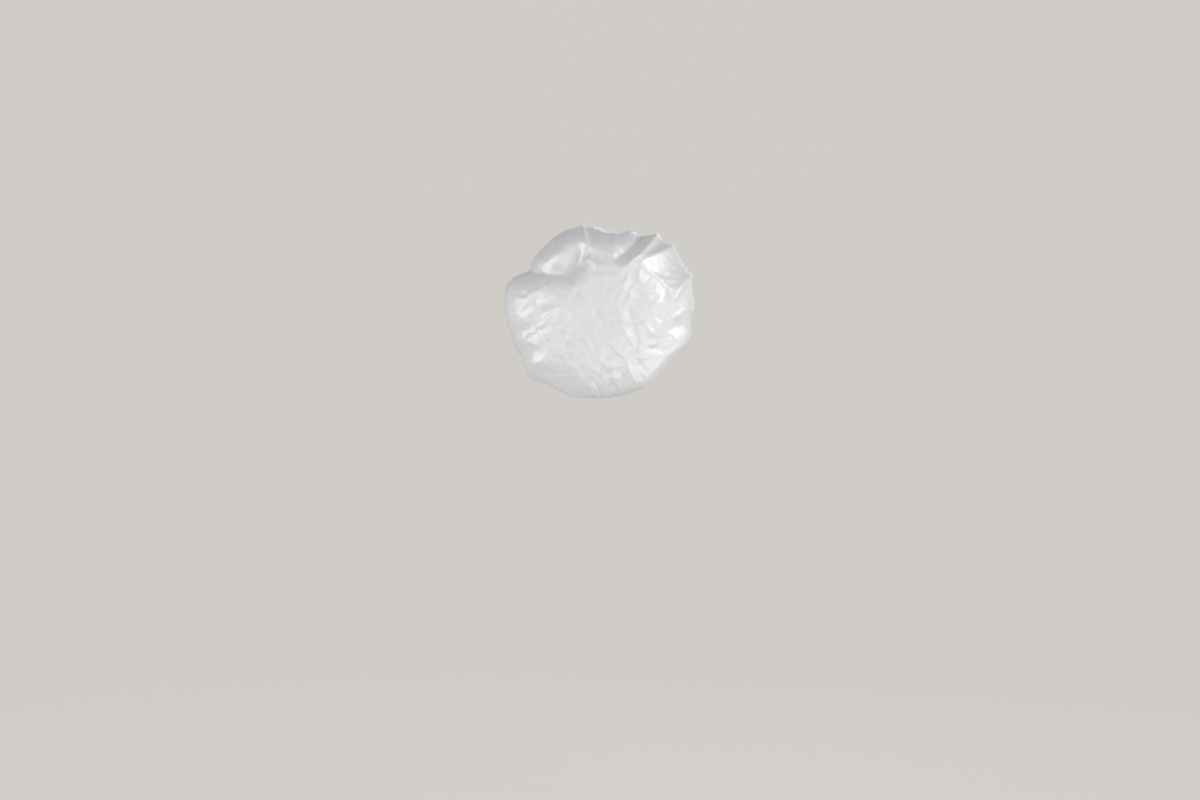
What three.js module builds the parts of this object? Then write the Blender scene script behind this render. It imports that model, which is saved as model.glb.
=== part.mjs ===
// A satin hair bonnet in the shape that it has when worn: a round double bag of satin,
// gathered into a narrow casing that holds a loop of elastic.
// Millimetres. +Z is up, +Y is the way the wearer faces, and the back of the bag faces -Y.
// The origin is the centre of the head opening, level with the folded edge of the casing.
import * as THREE from "three";

const { degToRad } = THREE.MathUtils;

// The head opening, an ellipse whose plane rises from the nape to the forehead.
const openingHalfWidth = 74;
const openingHalfLength = 99;
const openingTilt = degToRad(42);

// The bag, as seen from straight behind it and a little above.
const bagTilt = degToRad(9); // how far the back of the bag looks up
const bagHalfWidth = 163;
const bagLift = 12; // the bag's middle above the opening's middle
const poleDepth = 140; // the middle of the back panel behind the opening's middle
const topDepth = 18; // the widest line of the bag behind the opening's middle, at the top
const sideDepth = 48; // the same at the sides
const napeDepth = 82; // the same at the nape, where the bag hangs as a pouch
const panelFullness = 2.5; // 2 is a round back panel, more is a flatter one
const topRoll = 62; // how far the cloth keeps on forwards past the widest line, at the top
const sideRoll = 50; // the same at the sides
const napeRoll = 28; // the same at the nape
const rimRise = 30; // how far the cloth stands in line with the casing before it turns out

// The cloth and the thread.
const clothThickness = 0.6;
const layerGap = 0.4; // between the outer satin and the lining
const threadDiameter = 0.4;
const clearance = 0.3;

// The elastic and the casing round it.
const elasticWidth = 10;
const elasticThickness = 1;
const elasticOverlap = 18; // where its ends lie one on the other
const seamDepth = 3.2; // how much of the bag's edge is caught in the casing
const joinStitchLength = 15; // the sewing through the elastic's ends
const joinStitchWidth = 4;
const joinStitchWaves = 3;

// The care label, a folded strip sewn in at the nape.
const labelWidth = 20;
const labelLength = 30;
const labelPly = 0.25;
const labelPlyGap = 0.3;
const labelStitchInset = 1; // the sewing inside the label's edges

// The gathers at the casing. Their places are shares of the way from the bag's widest line to the
// casing.
const gatherCount = 24;
const gatherHeight = 4.5;
const gatherStartShare = 0.05;
const gatherFullShare = 0.85;
const foldEndShare = 0.9; // the main folds have died away here

// Radius of the bag's outline every 15 degrees, from the wearer's right towards the top,
// as shares of bagHalfWidth.
const outlineShares = [
  0.98, 0.985, 0.995, 1.0, 0.96, 0.885, 0.885, 0.895, 0.895, 0.87, 0.925, 0.985,
  0.97, 0.945, 0.925, 0.98, 0.92, 0.9, 0.885, 0.875, 0.87, 0.86, 0.87, 0.95,
];

// The main folds. Each runs through its points, which give a place to the right and up as shares
// of the outline's radius, and the share of the fold's height there. 1 is the bag's widest line,
// and 1 + frontShare is where the cloth meets the casing. Widths and heights are shares of
// bagHalfWidth, and a height below 0 is a valley.
const frontShare = 0.35;
const foldShares = [
  {
    path: [[-1.15, 0.66, 0.3], [-0.85, 0.53, 0.9], [-0.62, 0.49, 1], [-0.4, 0.5, 1], [-0.22, 0.62, 0.7]],
    width: 0.12,
    height: -0.08,
  },
  {
    path: [[-0.75, 0.5, 0], [-0.6, 0.6, 0.7], [-0.43, 0.7, 1], [-0.25, 0.8, 0.8], [-0.17, 0.88, 0.2]],
    width: 0.11,
    height: 0.03,
  },
  {
    path: [[-0.18, 0.94, 0.5], [-0.145, 0.8, 1], [-0.11, 0.6, 0.9], [-0.06, 0.45, 0]],
    width: 0.08,
    height: 0.035,
  },
  {
    path: [[0.7, 1.05, 0.1], [0.59, 0.79, 0.9], [0.37, 0.54, 1], [0.2, 0.42, 0]],
    width: 0.08,
    height: 0.045,
  },
  {
    path: [[0.5, 1.05, 0.2], [0.44, 0.86, 1], [0.3, 0.68, 1], [0.16, 0.55, 0]],
    width: 0.11,
    height: -0.05,
  },
  {
    path: [[1, 0.8, 0.2], [0.78, 0.68, 0.8], [0.6, 0.58, 1], [0.28, 0.42, 0]],
    width: 0.08,
    height: 0.025,
  },
  {
    path: [[1.15, 0.5, 0], [0.95, 0.38, 0.7], [0.84, 0.28, 1], [0.66, 0, 0]],
    width: 0.09,
    height: 0.035,
  },
  {
    path: [[1.2, -0.08, 0.6], [0.95, -0.12, 1], [0.8, -0.17, 1], [0.62, -0.3, 0]],
    width: 0.13,
    height: -0.045,
  },
  {
    path: [[1.06, -0.05, 0.3], [0.95, -0.26, 1], [0.67, -0.63, 1], [0.49, -0.81, 0.9], [0.3, -0.92, 0.3]],
    width: 0.1,
    height: 0.035,
  },
  {
    path: [[-1.1, -0.3, 0], [-0.9, -0.25, 0.6], [-0.72, -0.17, 1], [-0.55, -0.05, 0.9], [-0.36, 0.06, 0]],
    width: 0.1,
    height: -0.035,
  },
  {
    path: [[-0.75, -1.05, 0.3], [-0.6, -0.8, 1], [-0.5, -0.6, 0.9], [-0.4, -0.4, 0]],
    width: 0.13,
    height: -0.03,
  },
  {
    path: [[-0.36, 0.02, 0], [-0.38, -0.15, 1], [-0.36, -0.45, 1], [-0.5, -0.9, 0]],
    width: 0.1,
    height: -0.02,
  },
  { path: [[-0.06, 1, 0], [0.08, 0.985, 0.8], [0.2, 0.98, 1], [0.36, 1, 0]], width: 0.08, height: -0.04 },
  { path: [[-0.14, 1.1, 0], [0, 1.1, 1], [0.2, 1.1, 0.7], [0.42, 1.1, 0]], width: 0.08, height: 0.04 },
];

// How finely the cloth, the rings and the threads are drawn.
const panelRows = 7;
const frontRows = 5;
const ringSteps = 72;
const bendSteps = 2;
const labelBendSteps = 4;
const threadSides = 4;
const stepsPerWave = 12;

// The bag is seen along viewForward, and the casing stands along inwards on the opening's plane.
const right = new THREE.Vector3(1, 0, 0);
const viewUp = new THREE.Vector3(0, Math.sin(bagTilt), Math.cos(bagTilt));
const viewForward = new THREE.Vector3(0, Math.cos(bagTilt), -Math.sin(bagTilt));
const openingLong = new THREE.Vector3(0, Math.cos(openingTilt), Math.sin(openingTilt));
const inwards = new THREE.Vector3(0, -Math.sin(openingTilt), Math.cos(openingTilt));
const napeTurn = -Math.PI / 2;

// Distances out from the middle of the casing's wall.
const clothOuter = clothThickness + layerGap / 2;
const elasticMiddle = (elasticThickness + layerGap) / 2;
const elasticReach = elasticMiddle + elasticThickness / 2;
const joinStitchAt = elasticReach + clearance + threadDiameter / 2;
const pinchedInner = clothOuter + clearance;
const pinchedOuter = pinchedInner + clothThickness;
const pocketInner = joinStitchAt + threadDiameter / 2 + clearance;
const pocketOuter = pocketInner + clothThickness;
const seamThreadAt = pinchedOuter + clearance + threadDiameter / 2;

// Heights in from the folded edge of the casing.
const elasticBottom = pocketOuter;
const elasticTop = elasticBottom + elasticWidth;
const shoulderBottom = elasticTop - clearance;
const clothEdge = elasticTop + clearance;
const shoulderTop = clothEdge + clearance;
const casingTop = clothEdge + seamDepth;
const seamThreadHeight = (shoulderTop + casingTop) / 2;

// The label lies flat across the hollow of the wall, so its edges come nearer than its middle.
const labelThickness = 2 * labelPly + labelPlyGap;
const wallHollow =
  openingHalfLength * (1 - Math.sqrt(1 - (labelWidth / (2 * (openingHalfWidth - pocketOuter))) ** 2));
const labelAt = -(seamThreadAt + threadDiameter / 2 + clearance + wallHollow + labelThickness / 2);

const smoothStep = (x) => THREE.MathUtils.smoothstep(x, 0, 1);
const turnAt = (k, count) => (2 * Math.PI * k) / count;

// A point by the casing's wall: turn goes round the opening, out is the distance from the middle
// of the wall, and height the distance in from the folded edge.
function casingPoint(turn, out, height) {
  const c = Math.cos(turn);
  const s = Math.sin(turn);
  const normal = new THREE.Vector2(c * openingHalfLength, s * openingHalfWidth).normalize();
  return new THREE.Vector3()
    .addScaledVector(right, c * openingHalfWidth + normal.x * out)
    .addScaledVector(openingLong, s * openingHalfLength + normal.y * out)
    .addScaledVector(inwards, height);
}

// The outline's radius, on a smooth curve through outlineShares.
function outlineRadius(turn) {
  const count = outlineShares.length;
  const place = ((turn / (2 * Math.PI)) * count + count) % count;
  const first = Math.floor(place);
  const [a, b, c, d] = [-1, 0, 1, 2].map((k) => outlineShares[(first + k + count) % count]);
  const t = place - first;
  const bend = 3 * (b - c) + d - a;
  const share = b + (t / 2) * (c - a + t * (2 * a - 5 * b + 4 * c - d + t * bend));
  return share * bagHalfWidth;
}

// A length that is given at the top, the sides and the nape, at any turn.
function lengthAt(turn, top, side, nape) {
  const s = Math.sin(turn);
  return side + (s * (top - nape)) / 2 + s * s * ((top + nape) / 2 - side);
}

// A point given by its place behind the opening, as the bag is seen.
function viewPoint(turn, radius, depth) {
  return new THREE.Vector3()
    .addScaledVector(right, radius * Math.cos(turn))
    .addScaledVector(viewUp, bagLift + radius * Math.sin(turn))
    .addScaledVector(viewForward, -depth);
}

// How far out a place on the cloth is, as a share of the outline's radius.
function panelShare(along) {
  if (along >= 1) return 1 + (along - 1) * frontShare;
  return Math.sin((along * Math.PI) / 2) ** (2 / panelFullness);
}

// The bag without its folds. along is 0 at the middle of the back panel, 1 at the widest line,
// 2 where the cloth goes into the casing and 3 at its cut edge.
function smoothBagPoint(turn, along) {
  const radius = outlineRadius(turn);
  const depth = lengthAt(turn, topDepth, sideDepth, napeDepth);
  if (along <= 1) {
    const bulge = Math.cos((along * Math.PI) / 2) ** (2 / panelFullness);
    return viewPoint(turn, radius * panelShare(along), depth + (poleDepth - depth) * bulge);
  }
  if (along >= 2) {
    return casingPoint(turn, clothOuter, casingTop - (along - 2) * seamDepth);
  }
  const start = viewPoint(turn, radius, depth);
  const end = casingPoint(turn, clothOuter, casingTop);
  const roll = lengthAt(turn, topRoll, sideRoll, napeRoll);
  return new THREE.CubicBezierCurve3(
    start,
    start.clone().addScaledVector(viewForward, roll),
    end.clone().addScaledVector(inwards, rimRise),
    end,
  ).getPoint(along - 1);
}

// The direction square to the smooth bag, pointing out of it.
function bagNormal(turn, along) {
  const step = 1e-3;
  if (along < step) return viewForward.clone().negate();
  const aside = smoothBagPoint(turn + step, along).sub(smoothBagPoint(turn - step, along));
  const further = Math.min(along + step, 3);
  const onward = smoothBagPoint(turn, further).sub(smoothBagPoint(turn, along - step));
  return onward.cross(aside).normalize();
}

// The height of a fold at a place on the cloth, as a share of bagHalfWidth.
function foldHeight(fold, x, y) {
  let nearest = Infinity;
  let strength = 0;
  for (let k = 1; k < fold.path.length; k += 1) {
    const [ax, ay, before] = fold.path[k - 1];
    const [bx, by, after] = fold.path[k];
    const square = (bx - ax) ** 2 + (by - ay) ** 2;
    const t = THREE.MathUtils.clamp(((x - ax) * (bx - ax) + (y - ay) * (by - ay)) / square, 0, 1);
    const distance = Math.hypot(x - ax - t * (bx - ax), y - ay - t * (by - ay));
    if (distance < nearest) {
      nearest = distance;
      strength = before + t * (after - before);
    }
  }
  return fold.height * strength * Math.exp(-((nearest / fold.width) ** 2));
}

// How far the folds and gathers lift the cloth off the smooth bag.
function liftAt(turn, along) {
  const share = panelShare(along);
  const x = share * Math.cos(turn);
  const y = share * Math.sin(turn);
  const folds = foldShares.reduce((sum, fold) => sum + foldHeight(fold, x, y), 0) * bagHalfWidth;
  const foldsLeft = 1 - smoothStep((along - 1) / foldEndShare);
  const gathered = (along - 1 - gatherStartShare) / (gatherFullShare - gatherStartShare);
  const wave = (1 + Math.cos(turn * gatherCount)) / 2;
  const gathers = along < 2 ? gatherHeight * smoothStep(gathered) * wave : 0;
  return folds * foldsLeft + gathers;
}

// A point on the cloth, inset from the bag's outer face.
function clothPoint(turn, along, inset) {
  const out = bagNormal(turn, along);
  return smoothBagPoint(turn, along).addScaledVector(out, liftAt(turn, along) - inset);
}

// A mesh through rings of points, in order. A ring of one point is a pole. The last ring joins
// the first where joined is true, and flat faces close the ends where capped is true. From ring
// backFrom the rings run back under the others, and their faces split along the same corners.
function meshFromRings(rings, { joined = false, capped = false, backFrom = Infinity }) {
  const positions = [];
  const indices = [];
  const starts = rings.map((ring) => {
    const start = positions.length / 3;
    ring.forEach((p) => positions.push(p.x, p.y, p.z));
    return start;
  });
  const join = (a, b) => {
    const count = Math.max(rings[a].length, rings[b].length);
    const corner = (ring, k) => starts[ring] + (rings[ring].length > 1 ? k % count : 0);
    for (let k = 0; k < count; k += 1) {
      const [p, q] = [corner(a, k), corner(a, k + 1)];
      const [r, s] = [corner(b, k), corner(b, k + 1)];
      const faces = a >= backFrom ? [[p, r, s], [p, s, q]] : [[p, r, q], [q, r, s]];
      faces.filter((face) => new Set(face).size === 3).forEach((face) => indices.push(...face));
    }
  };
  for (let k = 1; k < rings.length; k += 1) join(k - 1, k);
  if (joined) join(rings.length - 1, 0);
  if (capped) {
    const last = starts[rings.length - 1];
    for (let k = 2; k < rings[0].length; k += 1) {
      indices.push(starts[0], starts[0] + k - 1, starts[0] + k);
      indices.push(last, last + k, last + k - 1);
    }
  }
  const geometry = new THREE.BufferGeometry();
  geometry.setAttribute("position", new THREE.Float32BufferAttribute(positions, 3));
  geometry.setIndex(indices);
  geometry.computeVertexNormals();
  return geometry;
}

// One layer of the bag: its outer face from the pole to the cut edge, and its inner face back.
function clothLayer(inset) {
  const places = [];
  for (let k = 1; k <= panelRows; k += 1) places.push(k / panelRows);
  for (let k = 1; k <= frontRows; k += 1) places.push(1 + k / frontRows);
  places.push(3);
  const columns = 2 * gatherCount;
  const ring = (along, depth) =>
    Array.from({ length: columns }, (_, k) => clothPoint(turnAt(k, columns), along, depth));
  const innerInset = inset + clothThickness;
  const outer = places.map((along) => ring(along, inset));
  const inner = places.map((along) => ring(along, innerInset)).reverse();
  const rings = [[clothPoint(0, 0, inset)], ...outer, ...inner, [clothPoint(0, 0, innerInset)]];
  return meshFromRings(rings, { backFrom: places.length + 1 });
}

// A ring that keeps one section, given as pairs of out and height, all round the opening.
function ringOf(section) {
  const rings = Array.from({ length: ringSteps }, (_, k) =>
    section.map(([out, height]) => casingPoint(turnAt(k, ringSteps), out, height)),
  );
  return meshFromRings(rings, { joined: true });
}

// The casing, one strip folded round the elastic and pinched on the bag's edge.
function rimCasing() {
  const bend = (radius) =>
    Array.from({ length: bendSteps }, (_, k) => {
      const angle = ((k + 1) / bendSteps) * (Math.PI / 2);
      return [radius * Math.sin(angle), pocketOuter - radius * Math.cos(angle)];
    });
  const side = [
    ...bend(pocketOuter),
    [pocketOuter, shoulderBottom],
    [pinchedOuter, shoulderTop],
    [pinchedOuter, casingTop],
    [pinchedInner, casingTop],
    [pinchedInner, shoulderTop],
    [pocketInner, shoulderBottom],
    ...bend(pocketInner).reverse(),
  ];
  const mirrored = side.map(([out, height]) => [-out, height]).reverse();
  return ringOf([[0, 0], ...side, [0, clothThickness], ...mirrored]);
}

// A row of sewing thread all round the casing.
function seamThread(out) {
  const radius = threadDiameter / 2;
  const section = Array.from({ length: threadSides }, (_, k) => {
    const angle = turnAt(k, threadSides);
    return [out + radius * Math.cos(angle), seamThreadHeight + radius * Math.sin(angle)];
  });
  return ringOf(section);
}

// The elastic, a strip whose ends lie one on the other at the nape.
function elasticStrip() {
  const overlapTurn = elasticOverlap / openingHalfWidth;
  const start = napeTurn - overlapTurn / 2;
  const sweep = 2 * Math.PI + overlapTurn;
  const half = elasticThickness / 2;
  const rings = Array.from({ length: ringSteps + 1 }, (_, k) => {
    const turn = start + (sweep * k) / ringSteps;
    const crossed = (turn - start - 2 * Math.PI + 2 * overlapTurn) / overlapTurn;
    const middle = elasticMiddle * (2 * smoothStep(crossed) - 1);
    return [
      casingPoint(turn, middle - half, elasticBottom),
      casingPoint(turn, middle + half, elasticBottom),
      casingPoint(turn, middle + half, elasticTop),
      casingPoint(turn, middle - half, elasticTop),
    ];
  });
  return meshFromRings(rings, { capped: true });
}

// A thread that follows a curve.
function threadAlong(curve, steps) {
  const radius = threadDiameter / 2;
  const corners = Array.from({ length: threadSides }, (_, k) => {
    const angle = turnAt(k, threadSides);
    return new THREE.Vector2(radius * Math.cos(angle), radius * Math.sin(angle));
  });
  return new THREE.ExtrudeGeometry(new THREE.Shape(corners), { steps, extrudePath: curve });
}

// The waving row of thread that holds the elastic's ends together.
function joinStitch() {
  const steps = joinStitchWaves * stepsPerWave;
  const middleHeight = (elasticBottom + elasticTop) / 2;
  const points = Array.from({ length: steps + 1 }, (_, k) => {
    const along = k / steps - 1 / 2;
    const turn = napeTurn + (along * joinStitchLength) / openingHalfWidth;
    const wave = Math.sin(turnAt(k, stepsPerWave)) / 2;
    return casingPoint(turn, joinStitchAt, middleHeight + joinStitchWidth * wave);
  });
  return threadAlong(new THREE.CatmullRomCurve3(points), steps);
}

// The care label: a strip folded at its far end, with both ends of the strip at the casing.
function careLabel() {
  const half = labelThickness / 2;
  const gapHalf = labelPlyGap / 2;
  const bendHeight = labelLength - half;
  const profile = new THREE.Shape();
  profile.moveTo(-half, 0);
  profile.lineTo(-gapHalf, 0);
  profile.lineTo(-gapHalf, bendHeight);
  profile.absarc(0, bendHeight, gapHalf, Math.PI, 0, true);
  profile.lineTo(gapHalf, 0);
  profile.lineTo(half, 0);
  profile.absarc(0, bendHeight, half, 0, Math.PI, false);
  return new THREE.ExtrudeGeometry(profile, {
    depth: labelWidth,
    bevelEnabled: false,
    curveSegments: labelBendSteps,
  }).translate(0, 0, -labelWidth / 2);
}

// The row of thread that holds the label.
function labelStitch() {
  const reach = labelWidth / 2 - labelStitchInset;
  const out = -(labelThickness / 2 + clearance + threadDiameter / 2);
  const start = new THREE.Vector3(out, labelStitchInset, -reach);
  const end = new THREE.Vector3(out, labelStitchInset, reach);
  return threadAlong(new THREE.LineCurve3(start, end), 1);
}

const satin = new THREE.MeshStandardMaterial({ color: 0xe9e9ea, roughness: 0.35 });
const liningSatin = new THREE.MeshStandardMaterial({ color: 0xe4e3e2, roughness: 0.4 });
const elasticKnit = new THREE.MeshStandardMaterial({ color: 0xdedcd6, roughness: 0.85 });
const thread = new THREE.MeshStandardMaterial({ color: 0xf1f0ee, roughness: 0.6 });
const labelTape = new THREE.MeshStandardMaterial({ color: 0xf4f3ef, roughness: 0.7 });

function piece(name, geometry, material) {
  const mesh = new THREE.Mesh(geometry, material);
  mesh.name = name;
  return mesh;
}

const bonnet = new THREE.Group();
bonnet.add(
  piece("outer_crown", clothLayer(0), satin),
  piece("lining", clothLayer(clothThickness + layerGap), liningSatin),
  piece("rim_casing", rimCasing(), satin),
  piece("elastic_band", elasticStrip(), elasticKnit),
  piece("elastic_join_stitch", joinStitch(), thread),
  piece("casing_needle_thread", seamThread(seamThreadAt), thread),
  piece("casing_bobbin_thread", seamThread(-seamThreadAt), thread),
);

// The label's own axes: x towards the casing's wall, y along inwards, z across the nape.
const labelGroup = new THREE.Group();
const labelOut = openingLong.clone().negate();
const labelAxes = new THREE.Matrix4().makeBasis(labelOut, inwards, labelOut.clone().cross(inwards));
labelGroup.position.copy(casingPoint(napeTurn, labelAt, seamThreadHeight));
labelGroup.setRotationFromMatrix(labelAxes);
labelGroup.add(
  piece("care_label", careLabel(), labelTape),
  piece("label_stitch", labelStitch(), thread),
);
bonnet.add(labelGroup);

export default bonnet;
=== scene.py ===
"""A white satin hair bonnet, made the way it is sewn: two discs of satin, gathered together into a
ruched casing that holds woven elastic, with a blank care label at the nape.

Everything is in metres. +Z is up, +Y is the way the wearer faces, and the origin is the middle of
the head opening, level with the folded edge of the casing.
"""

import math
from collections import namedtuple

import bmesh
import bpy
import numpy as np
from bpy.props import FloatProperty, FloatVectorProperty, IntProperty, PointerProperty
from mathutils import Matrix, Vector, noise


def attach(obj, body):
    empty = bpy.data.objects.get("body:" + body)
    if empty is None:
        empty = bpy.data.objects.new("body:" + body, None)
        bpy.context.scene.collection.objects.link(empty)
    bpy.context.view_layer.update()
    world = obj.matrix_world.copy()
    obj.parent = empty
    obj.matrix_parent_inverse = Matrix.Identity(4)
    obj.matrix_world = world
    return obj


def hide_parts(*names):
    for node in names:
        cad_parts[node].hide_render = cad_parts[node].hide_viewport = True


bl_info = {
    "name": "Satin Hair Bonnet",
    "version": (1, 0, 0),
    "blender": (4, 5, 0),
    "location": "3D View > Sidebar > Bonnet",
    "description": "Sews a satin hair bonnet round its packed frame",
    "category": "Add Mesh",
}

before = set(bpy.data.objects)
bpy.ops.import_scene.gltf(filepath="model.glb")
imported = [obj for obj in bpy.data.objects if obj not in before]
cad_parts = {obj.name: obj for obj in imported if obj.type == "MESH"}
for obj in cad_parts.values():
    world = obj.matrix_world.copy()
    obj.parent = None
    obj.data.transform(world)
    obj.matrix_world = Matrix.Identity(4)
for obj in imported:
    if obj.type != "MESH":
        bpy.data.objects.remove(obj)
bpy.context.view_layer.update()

MM = 0.001
RIGHT = np.array((1.0, 0.0, 0.0))
NAPE_TURN = -math.pi / 2


def from_hex(code):
    """An sRGB hex colour as linear red, green and blue."""
    shares = [int(code[k : k + 2], 16) / 255 for k in (1, 3, 5)]
    return [s / 12.92 if s <= 0.04045 else ((s + 0.055) / 1.055) ** 2.4 for s in shares]


def length(name, description, millimetres):
    """A size that a user may change, given in millimetres and kept in metres."""
    return FloatProperty(
        name=name, description=description, default=millimetres * MM, unit="LENGTH"
    )


def angle(name, description, degrees):
    """An angle that a user may change, given in degrees."""
    return FloatProperty(
        name=name, description=description, default=math.radians(degrees), subtype="ANGLE"
    )


def count(name, description, number):
    """A count that a user may change."""
    return IntProperty(name=name, description=description, default=number, min=1)


def share(name, description, value):
    """A share that a user may change."""
    return FloatProperty(
        name=name, description=description, default=value, subtype="FACTOR"
    )


def colour(name, description, code):
    """A colour that a user may change, given as an sRGB hex value."""
    return FloatVectorProperty(
        name=name, description=description, default=from_hex(code), subtype="COLOR", size=3
    )


class OpeningSizes(bpy.types.PropertyGroup):
    """The head opening, an ellipse whose plane rises from the nape to the forehead."""

    half_width: length("Half width", "Half the opening, from side to side", 74)
    half_length: length("Half length", "Half the opening, from nape to forehead", 99)
    tilt: angle("Tilt", "How steeply the opening rises to the forehead", 42)


class BagSizes(bpy.types.PropertyGroup):
    """The round bag, as seen from straight behind it and a little above."""

    tilt: angle("Tilt", "How far the back of the bag looks up", 9)
    half_width: length("Half width", "Half the bag, from side to side", 163)
    lift: length("Lift", "The bag's middle above the opening's middle", 12)
    pole_depth: length("Depth", "The middle of the back panel behind the opening", 140)
    top_depth: length("Depth at top", "The widest line behind the opening, at the top", 18)
    side_depth: length("Depth at sides", "The widest line behind the opening, at the sides", 48)
    nape_depth: length("Depth at nape", "The widest line behind the opening, at the nape", 82)
    fullness: FloatProperty(
        name="Fullness", description="2 is a round back, more is a flatter one", default=2.5
    )
    top_roll: length("Roll at top", "How far the cloth keeps on forwards at the top", 62)
    side_roll: length("Roll at sides", "How far the cloth keeps on forwards at the sides", 50)
    nape_roll: length("Roll at nape", "How far the cloth keeps on forwards at the nape", 28)
    rim_rise: length("Rim rise", "How far the cloth stands in line with the casing", 30)
    disc_width: length("Cut width", "The satin disc as it is cut, from edge to edge", 550)
    satin: length("Satin", "Thickness of the satin", 0.3)
    layer_step: length("Layer step", "From the outer satin's face to the lining's face", 1.0)


class SewingSizes(bpy.types.PropertyGroup):
    """The casing, its elastic and the thread."""

    cloth_outer: length("Cloth face", "The bag's outer face from the middle of the wall", 0.8)
    pocket_outer: length("Pocket", "The casing's outer face from the middle of the wall", 2.8)
    pinched_outer: length("Pinched", "The same where the casing is sewn to the bag", 1.7)
    shoulder: length("Shoulder", "How far in the pocket for the elastic reaches", 12.5)
    casing_top: length("Casing", "How far in the casing reaches from its folded edge", 16.3)
    seam: length("Seam", "How much of the bag's edge is caught in the casing", 3.2)
    stitch_line: length("Stitch line", "The closing row in from the folded edge", 14.85)
    elastic_width: length("Elastic width", "Width of the elastic", 10)
    elastic: length("Elastic", "Thickness of the elastic", 1)
    elastic_overlap: length("Overlap", "Where the elastic's ends lie one on the other", 18)
    rib_share: share("Ribs", "How deep the elastic's ribs are, as a share of its half", 0.16)
    gap: length("Gap", "Between layers that lie one on the other", 0.4)
    join_length: length("Join length", "The zigzag through the elastic's ends", 15)
    join_width: length("Join width", "The zigzag from side to side", 4)
    thread: length("Thread", "Thickness of the sewing thread", 0.4)
    stitch: length("Stitch", "Length of one stitch with its gap", 3.1)
    ruches: count("Ruches", "Small waves of the casing round the opening", 124)
    ruche_height: length("Ruche height", "Height of the casing's waves", 0.75)


class LabelSizes(bpy.types.PropertyGroup):
    """The care label, a folded strip sewn in at the nape."""

    width: length("Width", "Width of the label", 20)
    length: length("Length", "Length of the folded label", 30)
    ply: length("Ply", "Thickness of the tape", 0.25)
    gap: length("Gap", "Between the label's two plies", 0.3)
    clearance: length("Clearance", "Between the label and the thread behind it", 0.3)
    inset: length("Inset", "The row of stitches in from the label's edges", 1)
    curl: length("Curl", "How far the label's sides bend off the flat", 1.2)
    belly: length("Belly", "How far the label's two plies part", 0.9)


class Finishes(bpy.types.PropertyGroup):
    """Colours of the cloth and thread."""

    satin: colour("Satin", "Outer satin", "#e6e6e8")
    lining: colour("Lining", "Lining satin", "#e2e0de")
    elastic: colour("Elastic", "Woven elastic", "#dddbd4")
    thread: colour("Thread", "Sewing thread", "#eeedea")
    label: colour("Label", "Label tape", "#f1efea")


class StageSettings(bpy.types.PropertyGroup):
    """The camera, the floor and the lamps."""

    distance: length("Distance", "From the camera to the opening's middle", 4450)
    look_down: angle("Look down", "How far the line to the opening's middle dips", 9)
    focal_px: FloatProperty(name="Focal length", description="In pixels", default=2620)
    floor_drop: length("Floor drop", "The floor below the opening's middle", 1300)
    backdrop: colour("Backdrop", "Floor and backdrop", "#d8d5d0")
    room: colour("Room", "The even light all round", "#f1f4f9")


class BonnetSettings(bpy.types.PropertyGroup):
    """All the bonnet's sizes and colours."""

    opening: PointerProperty(type=OpeningSizes)
    bag: PointerProperty(type=BagSizes)
    sewing: PointerProperty(type=SewingSizes)
    label: PointerProperty(type=LabelSizes)
    finish: PointerProperty(type=Finishes)
    stage: PointerProperty(type=StageSettings)


# Radius of the bag's outline every 15 degrees, from the wearer's right towards the top, as shares
# of the bag's half width.
OUTLINE_SHARES = (
    0.98, 0.985, 0.995, 1.0, 0.96, 0.885, 0.885, 0.895, 0.895, 0.87, 0.925, 0.985,
    0.97, 0.945, 0.925, 0.98, 0.92, 0.9, 0.885, 0.875, 0.87, 0.86, 0.87, 0.95,
)

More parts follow.
